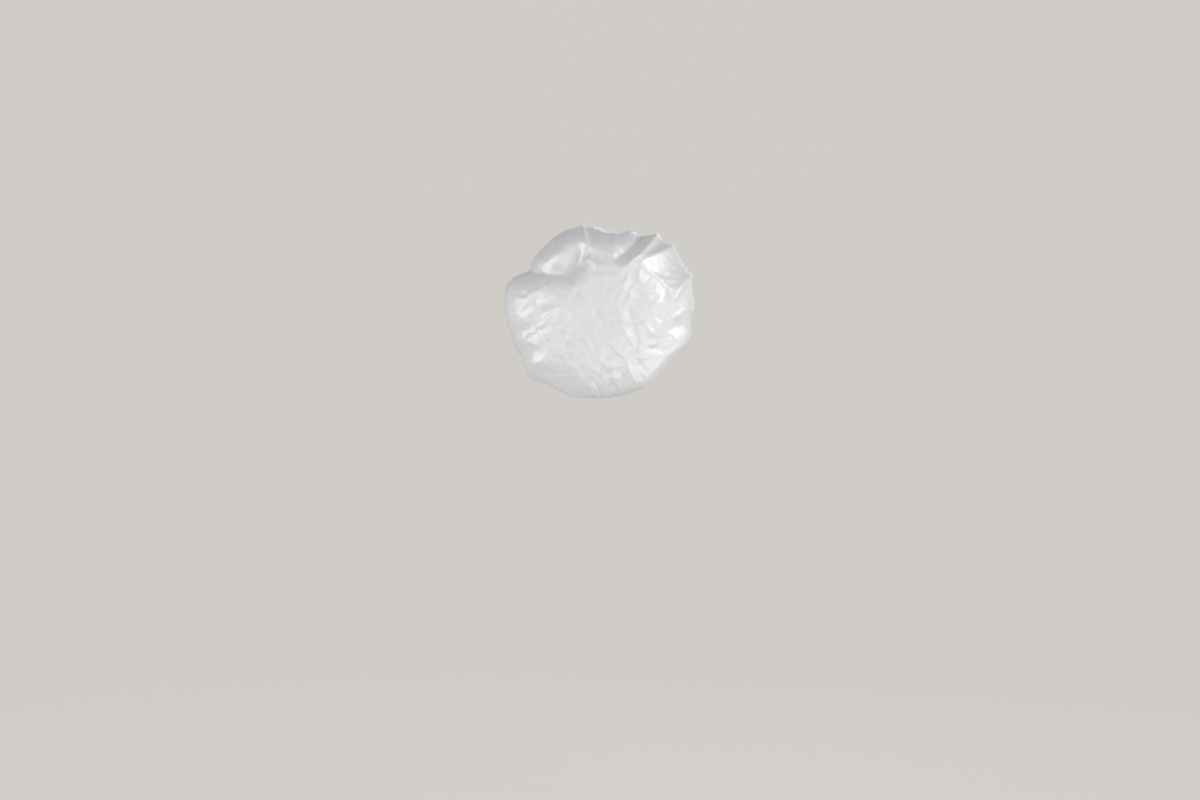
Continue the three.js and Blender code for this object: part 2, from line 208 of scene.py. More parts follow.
# A fold runs through its path, whose points give the place to the right and up as shares of the
# outline's radius, and the share of the fold's height that it has there. Left and right are its
# half widths on either side of the path, as shares of the bag's half width, as is its height,
# which is below 0 in a valley. A crest of 2 is round, and 1 is sharp.
Fold = namedtuple("Fold", "path left right height crest")
FOLD_SHARES = (
    Fold(
        [(-1.15, 0.66, 0.3), (-0.85, 0.53, 0.9), (-0.62, 0.49, 1), (-0.4, 0.5, 1.15), (-0.23, 0.61, 1),
         (-0.17, 0.76, 0.1)],
        left=0.1, right=0.13, height=-0.092, crest=1.7,
    ),
    Fold(
        [(-0.75, 0.5, 0), (-0.6, 0.6, 0.7), (-0.43, 0.7, 1), (-0.25, 0.8, 0.8), (-0.17, 0.88, 0.2)],
        left=0.12, right=0.08, height=0.03, crest=1.7,
    ),
    Fold(
        [(-0.2, 1.08, 0), (-0.18, 0.94, 0.5), (-0.145, 0.8, 1), (-0.11, 0.6, 0.9), (-0.06, 0.45, 0)],
        left=0.035, right=0.08, height=0.052, crest=1.2,
    ),
    Fold(
        [(0.7, 1.05, 0.1), (0.59, 0.79, 0.9), (0.495, 0.66, 1), (0.37, 0.54, 1), (0.2, 0.42, 0)],
        left=0.04, right=0.07, height=0.064, crest=1.2,
    ),
    Fold(
        [(0.5, 1.05, 0.2), (0.44, 0.86, 1), (0.3, 0.68, 1), (0.16, 0.55, 0)],
        left=0.15, right=0.07, height=-0.066, crest=2,
    ),
    Fold(
        [(1.0, 0.8, 0.2), (0.78, 0.68, 0.8), (0.6, 0.58, 1), (0.44, 0.5, 0.8), (0.28, 0.42, 0)],
        left=0.07, right=0.055, height=0.037, crest=1.4,
    ),
    Fold(
        [(1.15, 0.5, 0), (0.95, 0.38, 0.7), (0.84, 0.28, 1), (0.76, 0.14, 0.9), (0.66, 0.0, 0)],
        left=0.055, right=0.08, height=0.054, crest=1.25,
    ),
    Fold(
        [(1.2, -0.08, 0.6), (0.95, -0.12, 1), (0.8, -0.17, 1), (0.62, -0.3, 0)],
        left=0.14, right=0.12, height=-0.045, crest=2,
    ),
    Fold(
        [(1.06, -0.05, 0.3), (0.95, -0.26, 1), (0.82, -0.45, 1), (0.67, -0.63, 1), (0.49, -0.81, 0.9),
         (0.3, -0.92, 0.3)],
        left=0.12, right=0.07, height=0.043, crest=1.4,
    ),
    Fold(
        [(-1.1, -0.3, 0), (-0.9, -0.25, 0.6), (-0.72, -0.17, 1), (-0.55, -0.05, 0.9), (-0.36, 0.06, 0)],
        left=0.1, right=0.08, height=-0.035, crest=1.9,
    ),
    Fold(
        [(-0.75, -1.05, 0.3), (-0.6, -0.8, 1), (-0.5, -0.6, 0.9), (-0.4, -0.4, 0)],
        left=0.1, right=0.14, height=-0.03, crest=2,
    ),
    Fold(
        [(-0.36, 0.02, 0), (-0.38, -0.15, 1), (-0.36, -0.45, 1), (-0.42, -0.7, 0.5), (-0.5, -0.9, 0)],
        left=0.06, right=0.12, height=-0.013, crest=1.8,
    ),
    Fold(
        [(0.18, 0.1, 0), (0.26, -0.12, 1), (0.34, -0.3, 1), (0.45, -0.48, 0)],
        left=0.05, right=0.05, height=0.014, crest=1.6,
    ),
    Fold(
        [(-0.06, 1.0, 0), (0.08, 0.985, 0.8), (0.2, 0.98, 1), (0.36, 1.0, 0)],
        left=0.06, right=0.06, height=-0.04, crest=2,
    ),
    Fold(
        [(-0.14, 1.1, 0), (0.0, 1.1, 1), (0.2, 1.1, 0.7), (0.42, 1.1, 0)],
        left=0.06, right=0.05, height=0.04, crest=2,
    ),
)
# How fast the radius that the folds are laid out on grows along the front of the bag, and where
# on the front they have faded out.
FRONT_SHARE = 0.35
FOLD_END_SHARE = 0.9
# The steps of a line whose length is measured, the finer ones of a line that stitches are spaced
# along, and how many of the bag's meridians are measured.
LENGTH_STEPS = 400
SPACING_STEPS = 1600
MERIDIANS = 96


def curve_between(a, b, c, d, t):
    """The place at t on a smooth curve from b to c that comes from a and goes on to d."""
    bend = 3 * (b - c) + d - a
    return b + t / 2 * (c - a + t * (2 * a - 5 * b + 4 * c - d + t * bend))


def smooth_path(points, steps=6):
    """More points on a smooth curve through the given ones."""
    knots = np.array(points, float)
    knots = np.vstack((2 * knots[0] - knots[1], knots, 2 * knots[-1] - knots[-2]))
    t = np.linspace(0, 1, steps, endpoint=False)[:, None]
    curve = [curve_between(*four, t) for four in zip(knots, knots[1:], knots[2:], knots[3:])]
    return np.vstack((*curve, knots[-2]))


def lengths_along(points):
    """How far along a line each of its points is."""
    steps = np.linalg.norm(np.diff(points, axis=0), axis=1)
    return np.concatenate(([0], np.cumsum(steps)))


def turns_round(number):
    """Turns that share out a circle evenly."""
    return np.arange(number) / number * math.tau


def smooth_step(x):
    """0 below 0, 1 above 1, and a smooth climb between."""
    x = np.clip(x, 0, 1)
    return x * x * (3 - 2 * x)


def unit(vectors):
    """The vectors at length 1."""
    return vectors / np.linalg.norm(vectors, axis=-1, keepdims=True)


class Shape:
    """The surfaces of the bag and the casing, worked out from the sizes."""

    def __init__(self, settings):
        self.opening = settings.opening
        self.bag = settings.bag
        self.sewing = settings.sewing
        self.label = settings.label
        rise = settings.opening.tilt
        self.opening_long = np.array((0, math.cos(rise), math.sin(rise)))
        self.inwards = np.array((0, -math.sin(rise), math.cos(rise)))
        tilt = settings.bag.tilt
        self.view_up = np.array((0, math.sin(tilt), math.cos(tilt)))
        self.view_forward = np.array((0, math.cos(tilt), -math.sin(tilt)))

    def casing_point(self, turn, out, height):
        """Points by the casing's wall: turn goes round the opening, out is the distance from the
        middle of the wall, and height the distance in from the folded edge."""
        turn, out, height = np.broadcast_arrays(turn, out, height)
        across = np.cos(turn) * self.opening.half_length
        along = np.sin(turn) * self.opening.half_width
        size = np.hypot(across, along)
        x = np.cos(turn) * self.opening.half_width + across / size * out
        y = np.sin(turn) * self.opening.half_length + along / size * out
        inwards = height[..., None] * self.inwards
        return x[..., None] * RIGHT + y[..., None] * self.opening_long + inwards

    def opening_length(self):
        """The length of the casing's wall, once round the opening."""
        turns = np.linspace(0, math.tau, LENGTH_STEPS)
        return float(lengths_along(self.casing_point(turns, 0, 0))[-1])

    def outline_radius(self, turn):
        """The outline's radius, on a smooth curve through OUTLINE_SHARES."""
        shares = np.array(OUTLINE_SHARES)
        place = turn / math.tau * len(shares) % len(shares)
        first = np.floor(place).astype(int)
        four = (shares[(first + k) % len(shares)] for k in (-1, 0, 1, 2))
        return curve_between(*four, place - first) * self.bag.half_width

    @staticmethod
    def length_at(turn, top, side, nape):
        """A length that is given at the top, the sides and the nape, at any turn."""
        s = np.sin(turn)
        return side + s * (top - nape) / 2 + s * s * ((top + nape) / 2 - side)

    def view_point(self, turn, radius, depth):
        """Points given by their place behind the opening, as the bag is seen."""
        up = self.bag.lift + radius * np.sin(turn)
        return (
            (radius * np.cos(turn))[..., None] * RIGHT
            + up[..., None] * self.view_up
            - depth[..., None] * self.view_forward
        )

    def panel_share(self, along):
        """How far out a place on the cloth is, as a share of the outline's radius."""
        inner = np.sin(np.clip(along, 0, 1) * math.pi / 2) ** (2 / self.bag.fullness)
        return np.where(along < 1, inner, 1 + (along - 1) * FRONT_SHARE)

    def smooth_bag(self, turn, along):
        """The bag without its folds. along is 0 at the middle of the back panel, 1 at the widest
        line, 2 where the cloth goes into the casing and 3 at its cut edge."""
        turn, along = np.broadcast_arrays(turn, along)
        bag, sewing = self.bag, self.sewing
        radius = self.outline_radius(turn)
        depth = self.length_at(turn, bag.top_depth, bag.side_depth, bag.nape_depth)
        bulge = np.cos(np.clip(along, 0, 1) * math.pi / 2) ** (2 / bag.fullness)
        out = radius * self.panel_share(np.minimum(along, 1))
        back = self.view_point(turn, out, depth + (bag.pole_depth - depth) * bulge)
        roll = self.length_at(turn, bag.top_roll, bag.side_roll, bag.nape_roll)
        start = self.view_point(turn, radius, depth)
        end = self.casing_point(turn, sewing.cloth_outer, sewing.casing_top)
        forward = start + roll[..., None] * self.view_forward
        upright = end + bag.rim_rise * self.inwards
        t = np.clip(along - 1, 0, 1)[..., None]
        early = (1 - t) ** 3 * start + 3 * (1 - t) ** 2 * t * forward
        front = early + 3 * (1 - t) * t**2 * upright + t**3 * end
        sewn = self.casing_point(
            turn, sewing.cloth_outer, sewing.casing_top - (along - 2) * sewing.seam
        )
        return np.where((along <= 1)[..., None], back, np.where((along <= 2)[..., None], front, sewn))

    def bag_normal(self, turn, along):
        """The directions square to the smooth bag, pointing out of it."""
        step = 1e-3
        aside = self.smooth_bag(turn + step, along) - self.smooth_bag(turn - step, along)
        onward = self.smooth_bag(turn, along + step) - self.smooth_bag(turn, np.maximum(along - step, 0))
        normal = np.cross(onward, aside)
        size = np.linalg.norm(normal, axis=-1, keepdims=True)
        flat = size < 1e-12
        return np.where(flat, -self.view_forward, normal / np.where(flat, 1, size))

    def even_places(self, turns, shares):
        """For each share of the cloth's length from the pole to the casing, the places along the
        meridians at these turns."""
        fine = np.linspace(0, 2, LENGTH_STEPS)
        places = []
        for turn in turns:
            lengths = lengths_along(self.smooth_bag(np.full_like(fine, turn), fine))
            places.append(np.interp(shares, lengths / lengths[-1], fine))
        return np.array(places)


def fold_height(fold, x, y):
    """The height of a fold at places on the cloth, as a share of the bag's half width."""
    path = smooth_path(fold.path)
    start, step = path[:-1, :2], np.diff(path[:, :2], axis=0)
    away_x = x[:, None] - start[:, 0]
    away_y = y[:, None] - start[:, 1]
    square = (step**2).sum(axis=1)
    t = np.clip((away_x * step[:, 0] + away_y * step[:, 1]) / square, 0, 1)
    away_x -= t * step[:, 0]
    away_y -= t * step[:, 1]
    distance = np.hypot(away_x, away_y)
    rows, nearest = np.arange(len(x)), distance.argmin(axis=1)
    side = step[nearest, 0] * away_y[rows, nearest] - step[nearest, 1] * away_x[rows, nearest]
    width = np.where(side > 0, fold.left, fold.right)
    place = nearest + t[rows, nearest]
    strength = np.interp(place, np.arange(len(path)), path[:, 2])
    return fold.height * strength * np.exp(-((distance[rows, nearest] / width) ** fold.crest))


# Small soft creases all over the bag, which run mostly out from its middle. Sizes are shares of the
# bag's half width, and each is drawn between its two ends.
CREASE_SEED = 21
CREASE_COUNT = 70
CREASE_REACH_SHARE = 0.92
CREASE_LENGTH_SHARES = (0.18, 0.45)
CREASE_WIDTH_SHARES = (0.028, 0.06)
CREASE_HEIGHT_SHARES = (0.005, 0.013)
CREASE_SCATTER = 0.7
CREASE_BEND = 0.25
CREASE_CREST = 1.5
# Places along a crease, from end to end, and the share of its height that it has there.
CREASE_STRENGTHS = ((-1, 0), (-0.5, 0.8), (0, 1), (0.5, 0.8), (1, 0))


def small_creases():
    """The creases, each a slightly bent line that fades at both ends."""
    random = np.random.default_rng(CREASE_SEED)
    creases = []
    for _ in range(CREASE_COUNT):
        turn = random.uniform(0, math.tau)
        reach = CREASE_REACH_SHARE * math.sqrt(random.uniform(0, 1))
        heading = turn + random.normal() * CREASE_SCATTER
        size = random.uniform(*CREASE_LENGTH_SHARES)
        width = random.uniform(*CREASE_WIDTH_SHARES)
        height = random.uniform(*CREASE_HEIGHT_SHARES) * random.choice((-1, 1))
        bend = random.normal() * CREASE_BEND
        x, y = reach * math.cos(turn), reach * math.sin(turn)
        path = []
        for place, strength in CREASE_STRENGTHS:
            way, far = heading + bend * place, place * size / 2
            path.append((x + far * math.cos(way), y + far * math.sin(way), strength))
        creases.append(Fold(path, width, width, height, CREASE_CREST))
    return creases


# Rings past this share of the way out have the full number of columns.
FULL_RING_SHARE = 0.4
RING_HALVINGS = 5
# Two more rings past the casing's inner edge, in its seam.
SEAM_PLACES = (2.5, 3)


def columns_in_ring(place, most):
    """How many vertices a ring has, halved as rings get small, so that cells keep their size."""
    halvings = 0 if place >= FULL_RING_SHARE else int(math.log2(FULL_RING_SHARE / place)) + 1
    return most >> min(halvings, RING_HALVINGS)


def disc_faces(columns):
    """The faces of a disc whose rings have these many vertices, after one vertex at the pole."""
    faces = []
    starts = np.cumsum([1, *columns])
    faces += [(0, 1 + k, 1 + (k + 1) % columns[0]) for k in range(columns[0])]
    for ring in range(1, len(columns)):
        inner, outer = starts[ring - 1], starts[ring]
        few, many = columns[ring - 1], columns[ring]
        for k in range(few):
            a, b = inner + k, inner + (k + 1) % few
            if few == many:
                faces.append((a, outer + k, outer + (k + 1) % many, b))
            else:
                c, d, e = (outer + (2 * k + j) % many for j in (0, 1, 2))
                faces += [(a, c, d), (a, d, b), (b, d, e)]
    return faces


Cloth = namedtuple("Cloth", "turn along share faces")


def cloth_grid(shape, rings, columns):
    """The places of the disc's vertices: each one's turn, its place along the meridian and its
    share of the way from the pole to the casing, with the faces between them."""
    shares = np.arange(1, rings + 1) / rings
    knots = turns_round(MERIDIANS)
    places = shape.even_places(knots, shares)
    turn, along, out = [np.zeros(1)], [np.zeros(1)], [np.zeros(1)]
    counts = []
    for ring, place in enumerate(shares):
        many = columns_in_ring(place, columns)
        turns = turns_round(many)
        counts.append(many)
        turn.append(turns)
        along.append(np.interp(turns, knots, places[:, ring], period=math.tau))
        out.append(np.full(many, place))
    for extra in SEAM_PLACES:
        counts.append(columns)
        turn.append(turns)
        along.append(np.full(columns, extra))
        out.append(np.full(columns, 1 + (extra - 2) / rings))
    return Cloth(*map(np.concatenate, (turn, along, out)), disc_faces(counts))


# Pleats that run from the casing up into the bag. Heights are shares of the bag's half width. The
# places where a pleat starts and is full are counted as in smooth_bag, and end is the share of the
# height that is left at the casing.
Gather = namedtuple("Gather", "count height start full end")
GATHER_SHARES = (
    Gather(64, 0.01, 1.62, 1.9, 1.0),
    Gather(29, 0.016, 1.3, 1.75, 0.6),
    Gather(13, 0.021, 0.95, 1.5, 0.3),
)
GATHER_SEED = 7
WANDER_ORDERS = (1, 2, 3, 5, 8)
# How far pleats wander sideways, as an angle of their wave, and how far their start shifts.
PLEAT_WANDER = 2.2
PLEAT_START_WANDER = 0.12
PLEAT_SHARPNESS = 1.2
PLEAT_MIDDLE_SHARE = 0.55
# A pleat's strength lies between these two. The sine of a pleat's number at large steps and at a
# large size scatters it.
PLEAT_STRENGTHS = (0.75, 1.25)
SCATTER_STEP = 12.9898
SCATTER_SIZE = 43758.5453
SEAM_FADE_SHARE = 0.06
# The satin's crumples: how wide and how high they are, and how many finer sizes they have.
CRUMPLE = 36 * MM
CRUMPLE_HEIGHT = 1.2 * MM
CRUMPLE_OCTAVES = 3


def wander(turn, random, reach):
    """A smooth irregular change round the opening."""
    total = np.zeros_like(turn)
    for order in WANDER_ORDERS:
        total += random.normal() / order**0.5 * np.sin(order * turn + random.uniform(0, math.tau))
    return reach * total / len(WANDER_ORDERS) ** 0.5


def pleat_strength(which):
    """How strong a pleat is, by its number."""
    weakest, strongest = PLEAT_STRENGTHS
    scatter = np.modf(np.abs(np.sin(which * SCATTER_STEP) * SCATTER_SIZE))[0]
    return weakest + (strongest - weakest) * scatter


def seam_fade(along):
    """1 on the bag, down to 0 where it goes into the casing."""
    return np.clip((2 - along) / SEAM_FADE_SHARE, 0, 1)


def gather_lift(shape, turn, along):
    """How far the pleats lift the cloth off the bag."""
    random = np.random.default_rng(GATHER_SEED)
    lift = np.zeros_like(turn)
    for pleat in GATHER_SHARES:
        phase = pleat.count * turn + wander(turn, random, PLEAT_WANDER) + random.uniform(0, math.tau)
        start = pleat.start + wander(turn, random, PLEAT_START_WANDER)
        climb = smooth_step((along - start) / (pleat.full - pleat.start))
        fade = 1 - (1 - pleat.end) * smooth_step((along - pleat.full) / (2 - pleat.full))
        wave = np.abs(np.cos((phase % math.tau - math.pi) / 2)) ** PLEAT_SHARPNESS
        strength = pleat_strength(np.floor(phase / math.tau) + pleat.count)
        lift += pleat.height * strength * climb * fade * (wave - PLEAT_MIDDLE_SHARE)
    return lift * shape.bag.half_width * seam_fade(along)


def disc_places(shape, cloth):
    """Where each vertex lies on the flat disc."""
    radius = cloth.share * shape.bag.disc_width / 2
    return np.stack((radius * np.cos(cloth.turn), radius * np.sin(cloth.turn)), axis=1)


def crumple_lift(shape, cloth):
    """Soft crumples all over the satin, which follow its places on the cut disc."""
    places = disc_places(shape, cloth) / CRUMPLE
    rough = [noise.fractal((x, y, 0), 1, 2, CRUMPLE_OCTAVES) for x, y in places]
    return np.array(rough) * CRUMPLE_HEIGHT * seam_fade(cloth.along)


def outer_points(shape, cloth):
    """The outer satin's face, with its folds and pleats, before it settles."""
    reach = shape.panel_share(cloth.along)
    x, y = reach * np.cos(cloth.turn), reach * np.sin(cloth.turn)
    folds = (*FOLD_SHARES, *small_creases())
    lift = sum(fold_height(fold, x, y) for fold in folds) * shape.bag.half_width
    lift *= 1 - smooth_step((cloth.along - 1) / FOLD_END_SHARE)
    lift += gather_lift(shape, cloth.turn, cloth.along) + crumple_lift(shape, cloth)
    normal = shape.bag_normal(cloth.turn, cloth.along)
    return shape.smooth_bag(cloth.turn, cloth.along) + normal * lift[:, None]


def deselect_all():
    """Leaves nothing selected."""
    for other in bpy.context.selected_objects:
        other.select_set(False)


def select_only(made):
    """Makes this the one selected and active object."""
    deselect_all()
    made.select_set(True)
    bpy.context.view_layer.objects.active = made


def add_object(name, data):
    """A new object in the scene with this data."""
    made = bpy.data.objects.new(name, data)
    bpy.context.scene.collection.objects.link(made)
    return made


def select_places(made, wanted):
    """Selects the vertices whose places are wanted, with the edges and faces between them."""
    mesh = made.data
    for vertex in mesh.vertices:
        vertex.select = wanted(vertex.co)
    for part in (*mesh.edges, *mesh.polygons):
        part.select = all(mesh.vertices[k].select for k in part.vertices)


def edit(operator, **settings):
    """Runs one operator on the active object in edit mode."""
    bpy.ops.object.mode_set(mode="EDIT")
    operator(**settings)
    bpy.ops.object.mode_set(mode="OBJECT")


def make_mesh(name, points, faces):
    """A new smooth object with this mesh."""
    mesh = bpy.data.meshes.new(name)
    mesh.from_pydata(points.tolist(), [], faces)
    mesh.shade_smooth()
    return add_object(name, mesh)


def vertex_points(mesh):
    """The mesh's vertices as an array."""
    points = np.zeros(len(mesh.vertices) * 3, np.float32)
    mesh.vertices.foreach_get("co", points)
    return points.reshape(-1, 3)


# The UV map that says where the cloth lies as it is cut.
CUT_MAP = "Cut"


def grid_places(along, across):
    """The flat places of a grid of points, row after row."""
    return np.stack(np.meshgrid(along, across, indexing="ij"), axis=-1).reshape(-1, 2)


def lay_uv(made, places, around=0):
    """Gives each vertex its place on the flat cut cloth, in metres. around is the length after
    which the cloth meets itself, where it does."""
    mesh = made.data
    index = np.zeros(len(mesh.loops), np.int32)
    mesh.loops.foreach_get("vertex_index", index)
    corners = places[index]
    if around:
        quads = corners.reshape(-1, 4, 2)
        behind = quads[..., 0].max(axis=1, keepdims=True) - quads[..., 0] > around / 2
        quads[..., 0] += behind * around
    layer = mesh.uv_layers.new(name=CUT_MAP)
    layer.data.foreach_set("uv", corners.astype(np.float32).ravel())


def thicken(made, thickness):
    """Gives a sheet its thickness on its inner side, and closes its edges."""
    select_only(made)
    wall = made.modifiers.new("Thickness", "SOLIDIFY")
    wall.thickness = thickness
    wall.offset = -1
    bpy.ops.object.modifier_apply(modifier=wall.name)


def dress(made, node, body, material):
    """Puts a finished piece in the place of its CAD node."""
    made.data.materials.clear()
    made.data.materials.append(material)
    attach(made, body)
    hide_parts(node)


# How much wider the cut cloth is than the folded one, round the bag, by its place.
SLACK_SHARES = ((0, 0), (0.3, 0.015), (0.6, 0.06), (1, 0.12), (1.5, 0.2), (1.97, 0.26), (2, 0))
HOLD_SHARE = 0.14
POLE_HOLD_SHARE = 0.8
SEAM_HOLD_START = 1.9
SETTLE_FRAMES = 30
CLOTH_SETTINGS = {
    "quality": 5,
    "mass": 0.15,
    "tension_stiffness": 30,
    "compression_stiffness": 30,
    "shear_stiffness": 5,
    "bending_stiffness": 0.4,
    "tension_damping": 5,
    "compression_damping": 5,
    "shear_damping": 5,
    "bending_damping": 0.5,
    "air_damping": 2,
    "pin_stiffness": 1,
    "shrink_min": -0.01,
    "use_pressure": True,
    "uniform_pressure_force": 0.3,
}


def slack_points(points, cloth):
    """The satin with each ring let out by its slack."""
    slack = np.interp(cloth.along, *zip(*SLACK_SHARES))
    loose = points.copy()
    for place in np.unique(cloth.share):
        ring = cloth.share == place
        middle = points[ring].mean(axis=0)
        loose[ring] = middle + (points[ring] - middle) * (1 + slack[ring, None])
    return loose


def hold_shares(along):
    """How firmly each place keeps its given shape as the cloth settles: fully in the casing, and
    only lightly on the bag."""
    light = HOLD_SHARE * (POLE_HOLD_SHARE + (1 - POLE_HOLD_SHARE) * np.clip(along, 0, 1))
    firm = np.clip((along - SEAM_HOLD_START) / (2 - SEAM_HOLD_START), 0, 1)
    return light + (1 - light) * firm


def settle(made, cloth):
    """Lets the satin's slack settle into small creases, by a cloth simulation."""
    mesh = made.data
    made.shape_key_add(name="Basis")
    loose = made.shape_key_add(name="Slack")
    loose.data.foreach_set("co", slack_points(vertex_points(mesh), cloth).ravel())
    held = made.vertex_groups.new(name="Held")
    for index, strength in enumerate(hold_shares(cloth.along)):
        held.add([index], float(strength), "REPLACE")
    simulation = made.modifiers.new("Settling", "CLOTH")
    simulation.settings.rest_shape_key = loose
    simulation.settings.vertex_group_mass = held.name
    simulation.settings.effector_weights.gravity = 0
    for name, value in CLOTH_SETTINGS.items():
        setattr(simulation.settings, name, value)
    simulation.collision_settings.use_collision = False
    simulation.point_cache.frame_start = 1
    simulation.point_cache.frame_end = SETTLE_FRAMES
    for number in range(1, SETTLE_FRAMES + 1):
        bpy.context.scene.frame_set(number)
    evaluated = made.evaluated_get(bpy.context.evaluated_depsgraph_get())
    settled = vertex_points(evaluated.data)
    made.modifiers.remove(simulation)
    made.shape_key_clear()
    made.vertex_groups.clear()
    mesh.vertices.foreach_set("co", settled.ravel())
    mesh.update()
    bpy.context.scene.frame_set(1)


CLOTH_RINGS = 90
CLOTH_COLUMNS = 512


def sew_layer(name, shape, cloth, points):
    """One layer of the bag, a sheet whose vertices know their places on the cut disc."""
    made = make_mesh(name, points, cloth.faces)
    lay_uv(made, disc_places(shape, cloth))
    return made


def sew_outer(shape, material):
    """The outer bag of satin."""
    cloth = cloth_grid(shape, CLOTH_RINGS, CLOTH_COLUMNS)
    made = sew_layer("outer_satin", shape, cloth, outer_points(shape, cloth))
    settle(made, cloth)
    thicken(made, shape.bag.satin)
    dress(made, "outer_crown", "bonnet", material)


def sew_lining(shape, material):
    """The lining, which follows the outer bag on its inside."""
    cloth = cloth_grid(shape, CLOTH_RINGS, CLOTH_COLUMNS)
    outer = bpy.data.objects["outer_satin"].data
    points = vertex_points(outer)[: len(cloth.turn)]
    face = make_mesh("lining_face", points, cloth.faces)
    normals = np.array([vertex.normal for vertex in face.data.vertices])
    bpy.data.objects.remove(face)
    made = sew_layer("inner_satin", shape, cloth, points - normals * shape.bag.layer_step)
    thicken(made, shape.bag.satin)
    dress(made, "lining", "bonnet", material)


def grid_faces(rows, columns, rows_join=False, columns_join=False):
    """The faces of a grid of points, row after row."""
    return [
        (
            row * columns + column,
            (row + 1) % rows * columns + column,
            (row + 1) % rows * columns + (column + 1) % columns,
            row * columns + (column + 1) % columns,
        )
        for row in range(rows if rows_join else rows - 1)
        for column in range(columns if columns_join else columns - 1)
    ]


CASING_STEPS_PER_RUCHE = 6
CASING_FOLD_STEPS = 4
CASING_STEPS = 3
CASING_FLAT_SHARE = 1.22
# The share of the ruches' height that shows on the shoulder, at the stitches and past them.
SHOULDER_SHARE = 0.8
PINCH_SHARE = 0.3
FRILL_SHARE = 0.75
RUCHE_SEED = 11
# How far the ruches wander, slowly and over a few of them, as an angle of their wave.
RUCHE_WANDER = 2.5
RUCHE_JITTER = 0.9
JITTER_ORDER = 9
# The shares of the ruches' height in the ruches and in the slow swell under them.
RUCHE_SHARE = 0.8
SWELL_SHARE = 0.15
SWELL_ORDER = 7


def casing_section(sewing):
    """The casing's outer face across the strip, from its inner edge round the fold to its outer
    edge: the distance out, the height, and the share of the ruches that shows there."""
    wide, pinched = sewing.pocket_outer, sewing.pinched_outer
    quarter = np.linspace(0, math.pi / 2, CASING_FOLD_STEPS)
    bend = [(wide * math.sin(a), wide - wide * math.cos(a), 1) for a in quarter]
    wall = [
        (wide, (wide + sewing.shoulder) / 2, 1),
        (wide, sewing.shoulder, SHOULDER_SHARE),
        (pinched, sewing.stitch_line, PINCH_SHARE),
        (pinched, sewing.casing_top, FRILL_SHARE),
    ]
    half = smooth_path(bend + wall, CASING_STEPS)
    return np.vstack((half[:0:-1] * (-1, 1, 1), half))


def ruche_wave(turn, sewing, side):
    """The casing's small irregular waves round the opening, from -1 to 1. side is 1 on the outer
    side and -1 on the inner one."""
    random = np.random.default_rng(RUCHE_SEED + side)
    phase = sewing.ruches * turn + wander(turn, random, RUCHE_WANDER)
    phase = phase + wander(turn * JITTER_ORDER, random, RUCHE_JITTER)
    strength = pleat_strength(np.floor(phase / math.tau))
    swell = wander(turn * SWELL_ORDER, random, SWELL_SHARE)
    return strength * np.cos(phase) * RUCHE_SHARE + swell


def casing_points(shape, turns):
    """The casing's outer face, round the opening and across the strip."""
    sewing = shape.sewing
    out, height, ruched = casing_section(sewing).T
    lean_out, lean_height = np.gradient(height), -np.gradient(out)
    size = np.hypot(lean_out, lean_height)
    side = 0.5 + 0.5 * np.clip(out / sewing.pocket_outer, -1, 1)
    outer = ruche_wave(turns, sewing, 1)[:, None]
    inner = ruche_wave(turns, sewing, -1)[:, None]
    lift = (outer * side + inner * (1 - side)) * ruched * sewing.ruche_height
    return shape.casing_point(
        turns[:, None], out + lift * lean_out / size, height + lift * lean_height / size
    )


def sew_casing(shape, material):
    """The ruched casing, one strip folded round the elastic."""
    rows = shape.sewing.ruches * CASING_STEPS_PER_RUCHE
    turns = turns_round(rows)
    points = casing_points(shape, turns)
    columns = points.shape[1]
    made = make_mesh("casing_strip", points.reshape(-1, 3), grid_faces(rows, columns, rows_join=True))
    across = lengths_along(casing_section(shape.sewing)[:, :2])
    around = shape.opening_length() * CASING_FLAT_SHARE
    lay_uv(made, grid_places(turns / math.tau * around, across), around)
    thicken(made, shape.bag.satin)
    dress(made, "rim_casing", "bonnet", material)


ELASTIC_STEPS = 360
ELASTIC_RIBS = 8
RIB_STEPS = 5
# The thickness of the elastic's edges, as a share of its own.
ELASTIC_EDGE_SHARE = 0.55


def elastic_section(sewing):
    """Half the elastic's section, one ribbed face of it: the distance from its middle and the
    height."""
    steps = ELASTIC_RIBS * RIB_STEPS
    across = np.arange(steps + 1) / steps
    edge = np.minimum(across, 1 - across) * ELASTIC_RIBS
    rounded = np.sqrt(np.sqrt(np.clip(edge * (2 - edge), 0, 1)))
    rib = 1 - sewing.rib_share * (1 + np.cos(math.tau * across * ELASTIC_RIBS)) / 2
    half = sewing.elastic / 2 * rib * np.where(edge < 1, np.maximum(rounded, ELASTIC_EDGE_SHARE), 1)
    return half, sewing.pocket_outer + across * sewing.elastic_width


